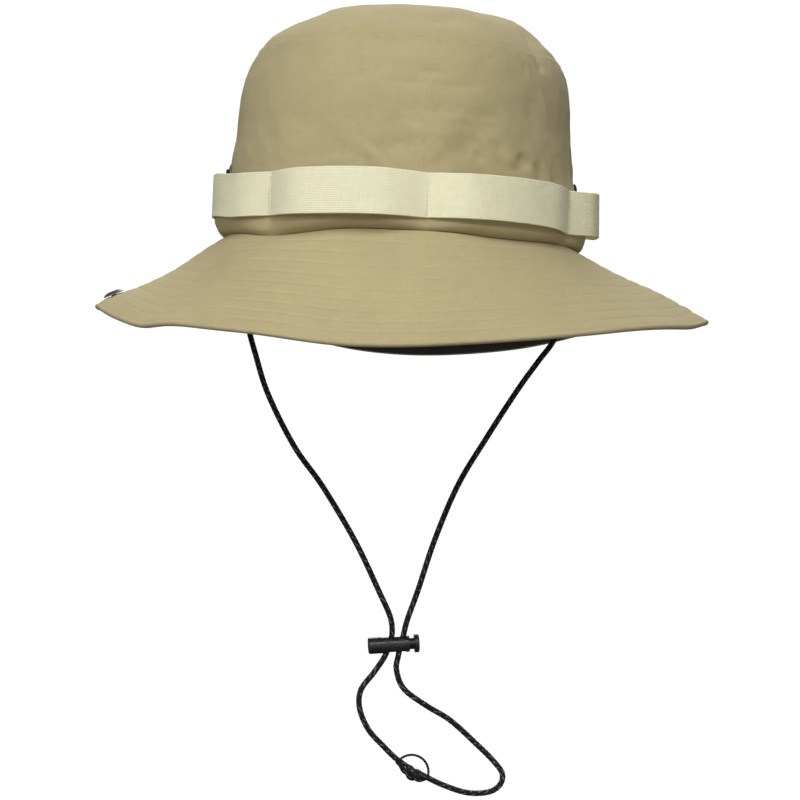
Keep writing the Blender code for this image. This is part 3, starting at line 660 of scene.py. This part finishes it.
def closed_section(outer, thickness):
    """Rows of an outer face, then the same rows a thickness inside it: one closed loop of rows."""
    ahead = np.roll(outer, -1, axis=1) - np.roll(outer, 1, axis=1)
    if not np.allclose(outer[:, 0], outer[:, -1], atol=0.02):
        ahead[:, 0], ahead[:, -1] = ahead[:, 1], ahead[:, -2]
    up = np.gradient(outer, axis=0)
    inward = -unit(np.cross(ahead, up))
    inner = outer + inward * thickness
    top = 0.5 * (outer[-1] + inner[-1]) + 0.15 * thickness * unit(up[-1])
    foot = 0.5 * (outer[0] + inner[0]) - 0.15 * thickness * unit(up[0])
    return np.concatenate([outer, top[None], inner[::-1], foot[None]])


def panel_uv(across, along):
    """UV in metres for a closed section: across for each column, along for each outer row."""
    v = np.concatenate([along, along[-1:], along[::-1], along[:1], along[:1]])
    return np.stack(np.broadcast_arrays(across[None, :], v[:, None]), axis=-1)


def add_crown():
    z = np.concatenate([
        np.linspace(-0.0006, 0.009, 17), np.linspace(0.010, 0.088, 66),
        np.linspace(0.0885, CROWN_TOP - 0.00004, 10),
    ])
    for name, start in (("crown_side_left", -math.pi / 2), ("crown_side_right", math.pi / 2)):
        inset = 0.0001
        ends = start + inset, start + math.pi - inset
        turn = np.concatenate([
            np.linspace(ends[0], ends[0] + 0.04, 8)[:-1],
            np.linspace(ends[0] + 0.04, ends[1] - 0.04, 190),
            np.linspace(ends[1] - 0.04, ends[1], 8)[1:],
        ])
        outer = side_surface(*np.meshgrid(turn, z))
        across = turn * 0.095
        panel = grid_object(name + "_cloth", closed_section(outer, 0.7 * MM), panel_uv(across, z),
                            wrap_rows=True, caps=True)
        finish_piece(panel, materials["crown"], [name])
    add_top_panel()
    add_crown_stitches()


def add_top_panel():
    share = np.concatenate([np.linspace(0.9996, 0.94, 12), np.linspace(0.93, 0.03, 50)])
    turn = np.linspace(0, TAU, 361)[:-1]
    outer = dome_surface(*np.meshgrid(turn, share))
    section = closed_section(outer, 0.7 * MM)
    panel = add_ring("crown_top_cloth", section, materials["crown"], ["crown_top_panel"])
    bm = bmesh.new()
    bm.from_mesh(panel.data)
    close_hole(bm)
    bm.to_mesh(panel.data)
    bm.free()
    panel.data.shade_smooth()


def close_hole(bm):
    """Swap the pinhole rim at the crown's centre for a flat cap on each face."""
    rim = [f for f in bm.faces if all(v.co.to_2d().length < 3.2 * MM for v in f.verts)]
    if rim:
        bmesh.ops.delete(bm, geom=rim, context="FACES")
    edges = [e for e in bm.edges if e.is_boundary]
    bmesh.ops.holes_fill(bm, edges=edges, sides=0)
    bmesh.ops.recalc_face_normals(bm, faces=bm.faces)


def add_crown_stitches():
    pitch = 2.9 * MM
    rows = [
        row_of_stitches(side_surface, lambda t: (t, 0 * t + CROWN_TOP - 2.6 * MM), 0, TAU, pitch, 0.0),
        row_of_stitches(dome_surface, lambda t: (t, 0 * t + 0.965), 0, TAU, pitch, 0.0),
    ]
    for seam in (-math.pi / 2, math.pi / 2):
        for a in (seam - 0.034, seam + 0.034):
            upright = lambda t, a=a: (0 * t + a, t)
            rows.append(row_of_stitches(side_surface, upright, 0.002, 0.088, pitch, 0.0))
    made = stitches("crown_topstitching", *zip(*rows), 2.2 * MM, 0.14 * MM)
    finish_piece(made, materials["khaki_thread"])


# ---------------------------------------------------------------- brim
def brim_base(angle, share):
    waves = sum(c * np.cos(n * angle) + s * np.sin(n * angle) for n, c, s in BRIM_EDGE_WAVES)
    degrees = np.degrees(angle)
    waves = waves + sum(lift * bump(degrees_from(degrees, at), width) for at, width, lift in BRIM_LIFTS)
    drop = BRIM_START_Z - BRIM_EDGE_Z - waves
    run = np.sqrt(BRIM_WIDTH ** 2 - drop ** 2)
    fall = share + BRIM_STEEPER_START * share * (1 - share)
    low = seam_drop(angle) * (1 - np.clip(share / 0.22, 0, 1)) ** 2
    start = oval_points(BRIM_INNER, angle, BRIM_START_Z - low)
    bow = sum(height * bump(degrees_from(degrees, at), BRIM_BOW_SPREAD) * bump(share - where, reach)
              for at, where, reach, height in BRIM_BOWS)
    out = oval_out(angle) * (run * share)[..., None]
    return start + out - np.array([0, 0, 1.0]) * (drop * fall - bow)[..., None]


BRIM_ROWS = np.arange(0.006, BRIM_WIDTH - 0.004, BRIM_ROW_PITCH) / BRIM_WIDTH
BRIM_EDGE_ROW = 1 - 2.4 * MM / BRIM_WIDTH


def brim_relief(p, share):
    """Quilting between the stitch rows and the cloth's own small ripples."""
    reach = share * BRIM_WIDTH
    total = 0 * reach
    for row in (*BRIM_ROWS, BRIM_EDGE_ROW):
        near = reach - row * BRIM_WIDTH
        total = total - 0.28 * MM * bump(near, 0.9 * MM)
        total = total + 0.10 * MM * bump(near, 3.0 * MM) * rough(p, 0.0055, 12)
    for ear in (0.0, math.pi):
        away = np.linalg.norm(p - brim_base(np.array(ear), np.array(0.85)), axis=-1)
        total = total + 0.25 * MM * bump(away, 6 * MM)
    return total + 0.12 * MM * rough(p, 0.012, 13)


def brim_face(side):
    """The brim's top (side 1) or under face (side -1)."""
    def surface(angle, share):
        p, n = with_upward_normals(brim_base, angle, share)
        return p + n * (side * (BRIM_HALF + brim_relief(p, share)))[..., None]
    return surface


brim_top_face, brim_under_face = brim_face(1), brim_face(-1)


def brim_between(angle, share, lift):
    """The brim's middle surface, with each row of points lifted off it."""
    p, n = with_upward_normals(brim_base, angle, share)
    return p + n * np.reshape(lift, (-1, 1))[..., None]


def add_brim():
    turn = np.linspace(0, TAU, 541)[:-1]
    share = np.linspace(-0.012, 1 - BRIM_HALF / BRIM_WIDTH, 150)
    angle, reach = np.meshgrid(turn, share)
    top = brim_top_face(angle, reach)
    bend = np.radians([60, 30, 0, -30, -55])
    edge_angle, edge_share = np.meshgrid(turn, share[-1] + BRIM_HALF * np.cos(bend) / BRIM_WIDTH)
    edge = brim_between(edge_angle, edge_share, BRIM_HALF * np.sin(bend))
    back_share = np.linspace(share[-1], share[0], 40)
    back = brim_between(*np.meshgrid(turn, back_share), np.full(40, 0.6 * MM))
    lower = brim_between(*np.meshgrid(turn, share[-1:]), np.array([-0.45 * MM]))
    section = np.concatenate([top, edge, lower, back])
    add_ring("brim_top_cloth", section, materials["brim"], ["brim_top", "brim_stiffener"])
    share = np.linspace(-0.012, 0.972, 120)
    under = brim_under_face(*np.meshgrid(turn, share))
    back = brim_between(*np.meshgrid(turn, share[::-4]), np.full(30, -0.55 * MM))
    add_ring("brim_under_cloth", np.concatenate([under, back]), materials["lining"],
             ["brim_underside"])
    add_brim_stitches("top", brim_top_face, 0.05 * MM, "khaki_thread")
    add_brim_stitches("under", brim_under_face, 0.0, "black_thread")


def add_brim_stitches(name, face, lift, thread):
    rows = []
    for k, row in enumerate((*BRIM_ROWS, BRIM_EDGE_ROW)):
        rows.append(row_of_stitches(face, lambda t: (t + 0.1 * k, 0 * t + row), 0, TAU, 3.0 * MM, lift))
    if name == "under":
        rows = [(p, d, -n if n[0][2] > 0 else n) for p, d, n in rows]
    made = stitches("brim_stitching_" + name, *zip(*rows), 2.3 * MM, 0.2 * MM)
    finish_piece(made, materials[thread])


def add_ring(name, section, material, replaced):
    """Piece that runs all round the head, from a closed loop of rows."""
    uv = np.concatenate([section[..., :2], section[:1, :, :2]])
    uv = np.concatenate([uv, uv[:, :1]], axis=1)
    piece = grid_object(name, section, uv, wrap_rows=True, wrap_columns=True)
    return finish_piece(piece, material, replaced)


# ---------------------------------------------------------------- inside the head opening
def band_ring(name, width, low, high, thickness, material, replaced):
    """Upright band of even thickness inside the head opening, a little uneven, with rounded edges."""
    turn = np.linspace(0, TAU, 301)[:-1]
    heights = np.linspace(low, high, 14)
    angle, z = np.meshgrid(turn, heights)
    outer = oval_points(width, angle, z)
    out = unit(outer * np.array([1, 1 / OVAL ** 2, 0]))
    outer = outer + out * (0.2 * MM * rough(outer, 0.02, 20))[..., None]
    inner = outer - out * thickness
    swell = 0.35 * thickness
    section = np.concatenate([
        outer, (outer[-1] - out[-1] * 0.5 * thickness + np.array([0, 0, swell]))[None],
        inner[::-1], (outer[0] - out[0] * 0.5 * thickness - np.array([0, 0, swell]))[None],
    ])
    uv = panel_uv(np.append(turn, TAU) * 0.092, heights)
    piece = grid_object(name, section, uv, wrap_rows=True, wrap_columns=True)
    return finish_piece(piece, material, replaced)


def band_stitches(name, width, z):
    """Row of stitches round the sweatband's inner face."""
    surface = lambda a, h: oval_points(width, a, h)
    p, d, _ = row_of_stitches(surface, lambda t: (t, 0 * t + z), 0, TAU, 3.0 * MM, 0.0)
    made = stitches(name, [p], [d], [-unit(p * np.array([1, 1, 0]))], 2.3 * MM, 0.2 * MM)
    finish_piece(made, materials["black_thread"])


def add_head_opening():
    low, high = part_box("sweatband")
    thick = 1.1 * MM
    band_ring("sweatband_cloth", high.x, low.z, high.z, thick, materials["sweat"],
              ["sweatband"])
    for k, z in enumerate((low.z + 2.5 * MM, high.z - 2.5 * MM)):
        band_stitches("sweatband_stitching_%d" % k, high.x - thick - 0.1 * MM, z)
    low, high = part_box("base_seam_binding")
    band_ring("base_binding_tape", high.x, low.z, high.z, 0.8 * MM, materials["tape"],
              ["base_seam_binding"])
    top = np.array([CROWN_TOP - 0.010, CROWN_TOP - 0.005, CROWN_TOP - 0.0012])
    add_seam_tape("top_tape", None, top, ["top_seam_tape"])
    z = np.linspace(0.026, CROWN_TOP - 0.012, 30)
    add_seam_tape("front_tape", -math.pi / 2, z, ["front_seam_tape"])
    add_seam_tape("back_tape", math.pi / 2, z, ["back_seam_tape"])
    add_label()


def add_seam_tape(name, facing, z, replaced):
    """Tape on the crown's inner face: all the way round, or over the seam that faces the given way."""
    closed = facing is None
    turn = np.linspace(0, TAU, 301)[:-1] if closed else np.linspace(facing - 0.058, facing + 0.058, 12)
    angle, height = np.meshgrid(turn, z)
    p, n = with_normals(side_surface, angle, height)
    section = closed_section(p - n * 1.05 * MM, 0.5 * MM)
    uv = panel_uv((np.append(turn, TAU) if closed else turn) * 0.092, z)
    piece = grid_object(name, section, uv, wrap_rows=True, wrap_columns=closed, caps=not closed)
    finish_piece(piece, materials["tape"], replaced)


def add_label():
    """Blank folded label, held at its top edge and hanging a little free."""
    low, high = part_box("care_label")
    x = np.linspace(low.x, high.x, 20)
    z = np.linspace(high.z, low.z - 0.001, 16)
    across, down = np.meshgrid(x, z)
    y = high.y - 0.0003 - 0.002 * ((high.z - down) / 0.016) ** 2 - 18 * across ** 2 * 0.6
    outer = np.stack([across, y, down], axis=-1)
    section = closed_section(outer, 0.3 * MM)
    piece = grid_object("blank_label", section, panel_uv(x, z), wrap_rows=True, caps=True)
    finish_piece(piece, materials["label"], ["care_label"])


# ---------------------------------------------------------------- webbing
def loop_place(angle):
    """Which loop of the webbing an angle is in, and how far along that loop."""
    loop = np.clip(np.searchsorted(TACK_ANGLES, angle, side="right") - 1, 0, len(LOOP_HEIGHTS) - 1)
    along = (angle - TACK_ANGLES[loop]) / (TACK_ANGLES[loop + 1] - TACK_ANGLES[loop])
    return loop, along


def webbing_distance(angle):
    loop, along = loop_place(angle)
    near = np.abs(np.where(along > 0.5, 1 - along, along))
    shape = -np.log(np.exp(-9 * near / LOOP_SHOULDERS[loop]) + math.exp(-9)) / 9
    shape = np.sqrt(shape ** 2 + 0.0049) - 0.07
    return WEBBING_SETBACK + LOOP_HEIGHTS[loop] * shape * (1 - 0.10 * np.sin(3.1 * loop + TAU * along))


def webbing_points(angle, height, lift):
    """Points of the strip: height across its width, lift out from its inner face."""
    width = np.interp(WEBBING_BOTTOM, PROFILE_Z, PROFILE_W)
    loop, along = loop_place(angle)
    turn = loop + along
    loose = np.abs(np.sin(math.pi * along))
    lap_start = math.pi / 2 + TAU - 1.5 * WEBBING_LAP
    rise = (WEBBING_THICKNESS + 0.3 * MM) * np.clip((angle - lap_start) / WEBBING_LAP, 0, 1)
    lean = 0.9 * MM * loose * np.sin(1.7 * turn + 0.6) - 2.0 * MM * bump(np.degrees(angle) - 360, 22)
    lean = lean * (height / WEBBING_WIDTH - 0.5)
    z = WEBBING_BOTTOM + height + WEBBING_TILT * np.cos(angle) + WEBBING_DIP * np.sin(angle)
    z = z + 0.35 * MM * loose * np.sin(2.3 * turn + 1.0)
    z = z + WEBBING_BACK_RISE * ease((np.sin(angle - math.radians(12.5)) + 0.2) / 0.4)
    z = z - 1.9 * MM * bump(np.degrees(angle) - 328, 14)
    z = z + 1.1 * MM * np.where(loop == 2, loose, 0) * height / WEBBING_WIDTH
    distance = webbing_distance(angle) + lift + rise + lean
    return oval_points(width, angle, z) + oval_out(angle) * distance[..., None]


def webbing_face(angle, height):
    return webbing_points(angle, height, WEBBING_THICKNESS + 0 * height)


def add_webbing():
    start = math.pi / 2 - 0.5 * WEBBING_LAP
    turn = np.linspace(start, start + TAU + WEBBING_LAP, 721)
    h = np.linspace(0.35 * MM, WEBBING_WIDTH - 0.35 * MM, 22)
    t = WEBBING_THICKNESS
    heights = np.concatenate([h, [WEBBING_WIDTH], h[::-1], [0.0]])
    lifts = np.concatenate([np.full(22, t), [0.5 * t], np.zeros(22), [0.5 * t]])
    angle, height = np.meshgrid(turn, heights)
    points = webbing_points(angle, height, lifts[:, None] + 0 * angle)
    swell = 0.12 * MM * rough(points, 0.006, 31)
    points[..., 2] += 0.3 * swell
    rows = np.append(heights, heights[0])
    uv = np.stack(np.broadcast_arrays(reach_along(points[5])[None, :], rows[:, None]), axis=-1)
    band = grid_object("webbing_strip", points, uv, wrap_rows=True, caps=True)
    finish_piece(band, materials["webbing"], ["webbing_band"])
    for index in range(len(LOOP_HEIGHTS)):
        add_bar_tack(index)


def add_bar_tack(index):
    """Dense zigzag of thread down the webbing."""
    angle = TACK_ANGLES[index] if index else TACK_ANGLES[-1]
    centres, directions, normals = [], [], []
    heights = np.linspace(1.6 * MM, WEBBING_WIDTH - 1.6 * MM, 30)
    for k, h in enumerate(heights):
        p, n = with_normals(webbing_face, np.array([angle]), np.array([h]))
        n = unit(np.where(np.sum(n * p * [1, 1, 0], axis=-1, keepdims=True) < 0, -n, n))
        side = unit(np.cross(n, np.array([[0, 0, 1.0]])))
        slant = unit(side + np.array([[0, 0, 0.25 if k % 2 else -0.25]]))
        centres.append(p + n * 0.05 * MM)
        directions.append(slant)
        normals.append(n)
    made = stitches("webbing_bar_tack_%d" % (index + 1), centres, directions, normals, 1.7 * MM, 0.20 * MM)
    finish_piece(made, materials["cream_thread"], ["band_tack_%d" % (index + 1)])


# ---------------------------------------------------------------- cords, anchors, knot
def smooth_route(points, step):
    """Evenly spaced points on the smooth curve through a route's points."""
    padded = [2 * points[0] - points[1], *points, 2 * points[-1] - points[-2]]
    dense = [np.array(points[0])]
    for a, b, c, d in zip(padded, padded[1:], padded[2:], padded[3:]):
        a, b, c, d = (np.array(p) for p in (a, b, c, d))
        for t in np.linspace(0, 1, 41)[1:]:
            dense.append(0.5 * (2 * b + (c - a) * t + (2 * a - 5 * b + 4 * c - d) * t**2
                                + (3 * b - a - 3 * c + d) * t**3))
    dense = np.array(dense)
    reach = reach_along(dense)
    even = np.linspace(0, reach[-1], max(3, int(round(reach[-1] / step)) + 1))
    return np.stack([np.interp(even, reach, dense[:, k]) for k in range(3)], axis=-1), even


def tube_mesh(name, path, radius, sides=16, relief=0.0):
    """Round tube along a path with flat ends; the braid's strands show as low relief."""
    reach = reach_along(path)
    ahead = unit(np.gradient(path, axis=0))
    side = np.zeros_like(path)
    side[0] = unit(np.cross(ahead[0], [0.0, 1.0, 0.001]))
    for k in range(1, len(path)):
        side[k] = unit(side[k - 1] - ahead[k] * np.dot(side[k - 1], ahead[k]))
    up = np.cross(ahead, side)
    turn = np.arange(sides) * TAU / sides
    around, along = 4 * turn[:, None], TAU * reach / BRAID_PITCH
    r = radius * (1 + relief * (np.abs(np.sin(around + along) * np.sin(around - along)) - 0.5))
    points = path[None] + side[None] * (np.cos(turn)[:, None] * r)[..., None]
    points = points + up[None] * (np.sin(turn)[:, None] * r)[..., None]
    u = np.append(turn / TAU, 1.0)
    uv = np.stack(np.broadcast_arrays(u[:, None], reach[None, :]), axis=-1)
    return grid_object(name, points, uv, wrap_rows=True, caps=True)


def lock_follow(piece):
    """Bake the cord's placement into its mesh."""
    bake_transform(piece)


def add_cords():
    along = Vector((math.cos(KNOT_SLOPE), 0, -math.sin(KNOT_SLOPE)))
    pieces = [*add_knot(along), *(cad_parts[n] for n in ("lock_barrel", "lock_plunger", "lock_spring"))]
    for side, sign, route in (("right", -1, RIGHT_ROUTE_MM), ("left", 1, LEFT_ROUTE_MM)):
        start = Vector((sign * ANCHOR_X, 0, ANCHOR_LOW - 0.3 * MM))
        end = KNOT_CENTRE + along * sign * 1.5 * MM
        points = [start, *(Vector(p) * MM for p in route), end]
        path, reach = smooth_route(points, 0.5 * MM)
        cord = tube_mesh("chin_cord_braid_" + side, path, CORD_RADIUS, 16, 0.10)
        cord.data.materials.append(materials["cord"])
        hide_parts("chin_cord_" + side)
        lock_follow(cord)
        add_anchor(side, sign)


def add_anchor(side, sign):
    """Folded tape sewn into the seam that holds the cord's end."""
    low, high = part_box("cord_anchor_" + side)
    middle = 0.5 * (low + high)
    half = 0.5 * (high.x - low.x)
    s = np.linspace(0, 1, 40)
    bend = np.clip((s - 0.4) / 0.2, 0, 1) * math.pi
    x = middle.x + sign * 0.85 * half * np.cos(bend)
    z = np.where(s < 0.4, high.z - (high.z - low.z - half) * s / 0.4,
                 np.where(s > 0.6, high.z - (high.z - low.z - half) * (1 - s) / 0.4,
                          low.z + half - 0.95 * half * np.sin(bend)))
    y = np.linspace(low.y, high.y, 12)
    across, index = np.meshgrid(y, np.arange(40))
    outer = np.stack([x[index], across, z[index]], axis=-1)
    piece = grid_object("cord_tab_" + side, closed_section(outer, 0.7 * MM * sign),
                        panel_uv(y, s * 0.024), wrap_rows=True, caps=True)
    finish_piece(piece, materials["tape"], ["cord_anchor_" + side])


def add_knot(along):
    """Knot where the cord's two ends meet: strands laid round each other in one lump, and a thin loop."""
    side = Vector((0, 1, 0))
    up = along.cross(side)
    t = np.linspace(0, 1, 90)
    swell = np.sin(math.pi * t ** 1.35) ** 0.9
    reach = (t - 0.56) * 17 * MM
    middle = np.array(KNOT_CENTRE)[None] + np.outer(reach, along) + np.outer(KNOT_SAG * swell, up)
    strands = []
    for number in range(3):
        turn = TAU * (1.15 * t + number / 3 + 0.1)
        radius = (0.2 + 1.75 * swell) * MM
        path = middle + np.outer(radius * np.cos(turn), side) + np.outer(radius * np.sin(turn), up)
        strand = tube_mesh("cord_knot_strand_%d" % (number + 1), path, (0.9 + 0.6 * swell) * MM, 14, 0.08)
        finish_piece(strand, materials["cord"], [] if number else ["cord_knot"])
        strands.append(strand)
    centre, radius = Vector((0.0182, 0.0, -0.2567)), 0.0083
    angles = np.linspace(math.radians(146), math.radians(-20), 60)
    path = np.stack([centre.x + radius * np.cos(angles), 0 * angles - 0.3 * MM,
                     centre.z + radius * np.sin(angles)], axis=-1)
    loop = tube_mesh("knot_thread_loop", path, 0.6 * MM, 10)
    finish_piece(loop, materials["cord"], ["knot_loop"])
    return [*strands, loop]


# ---------------------------------------------------------------- metal and plastic, from the frame
def dress_hard_parts():
    for name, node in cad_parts.items():
        if "snap" in name:
            dress(node, materials["snap"])
        elif name in ("lock_barrel", "lock_plunger"):
            dress(node, materials["plastic"])
        elif name == "lock_spring":
            dress(node, materials["spring"])


def dress(node, material):
    if not node.material_slots:
        node.data.materials.append(material)
    for slot in node.material_slots:
        slot.material = material


# ---------------------------------------------------------------- room, light and camera
def add_room():
    bm = bmesh.new()
    bmesh.ops.create_grid(bm, x_segments=1, y_segments=1, size=20.0)
    mesh = bpy.data.meshes.new("floor")
    bm.to_mesh(mesh)
    bm.free()
    floor = linked("floor", mesh)
    floor.location = (0, 0, -3.2)
    floor.visible_diffuse = False
    floor.visible_glossy = False
    n = Nodes("pale_floor")
    n.look("Base Color", (0.93, 0.93, 0.93))
    n.look("Roughness", 0.9)
    n.look("Emission Color", (1, 1, 1))
    n.look("Emission Strength", 0.8)
    mesh.materials.append(n.material)
    world = bpy.data.worlds.new("studio")
    bpy.context.scene.world = world
    world.use_nodes = True
    tree = world.node_tree
    background = tree.nodes["Background"]
    background.inputs["Color"].default_value = (1, 1, 1, 1)
    background.inputs["Strength"].default_value = 0.13
    white = tree.nodes.new("ShaderNodeBackground")
    white.inputs["Color"].default_value = (1, 1, 1, 1)
    white.inputs["Strength"].default_value = 1.05
    seen = tree.nodes.new("ShaderNodeLightPath")
    choose = tree.nodes.new("ShaderNodeMixShader")
    tree.links.new(seen.outputs["Is Camera Ray"], choose.inputs[0])
    tree.links.new(background.outputs[0], choose.inputs[1])
    tree.links.new(white.outputs[0], choose.inputs[2])
    tree.links.new(choose.outputs[0], tree.nodes["World Output"].inputs["Surface"])


LAMP_DISTANCE = 1.9
# Name, azimuth and elevation in degrees, size in metres, watts.
LAMPS = (
    ("key", -13, 37, 1.1, 28.5), ("low_fill", -8, -6, 0.8, 5.5), ("left_fill", -75, 18, 1.0, 7),
    ("right_fill", 80, 15, 1.0, 3.8), ("back", 170, 40, 1.0, 22),
)


def direction(azimuth, elevation):
    """Unit vector from the middle of the scene; azimuth 0 is the hat's front, angles in radians."""
    flat = math.cos(elevation)
    return Vector((math.sin(azimuth) * flat, -math.cos(azimuth) * flat, math.sin(elevation)))


def add_lights():
    for name, azimuth, elevation, size, power in LAMPS:
        data = bpy.data.lights.new(name, "AREA")
        data.shape = "DISK"
        data.size = size
        data.energy = power
        away = direction(math.radians(azimuth), math.radians(elevation))
        lamp = linked(name, data)
        lamp.location = away * LAMP_DISTANCE
        lamp.rotation_euler = (-away).to_track_quat("-Z", "Y").to_euler()


CAMERA_AZIMUTH, CAMERA_ELEVATION, CAMERA_ROLL = (math.radians(a) for a in (-6.0, -1.7, 2.9))
CAMERA_DISTANCE = 1.8
CAMERA_TARGET = Vector((0.0034, 0.0, -0.0761))


def add_camera():
    away = direction(CAMERA_AZIMUTH, CAMERA_ELEVATION)
    data = bpy.data.cameras.new("camera")
    data.lens = 166
    data.sensor_width = 36
    camera = linked("camera", data)
    look = (-away).to_track_quat("-Z", "Y").to_matrix().to_4x4()
    roll = Matrix.Rotation(CAMERA_ROLL, 4, "Z")
    camera.matrix_world = Matrix.Translation(CAMERA_TARGET + away * CAMERA_DISTANCE) @ look @ roll
    bpy.context.scene.camera = camera


add_camera()
add_room()
add_lights()
add_cords()
add_crown()
add_brim()
add_head_opening()
add_webbing()
dress_hard_parts()
bpy.context.scene.view_settings.view_transform = "Standard"
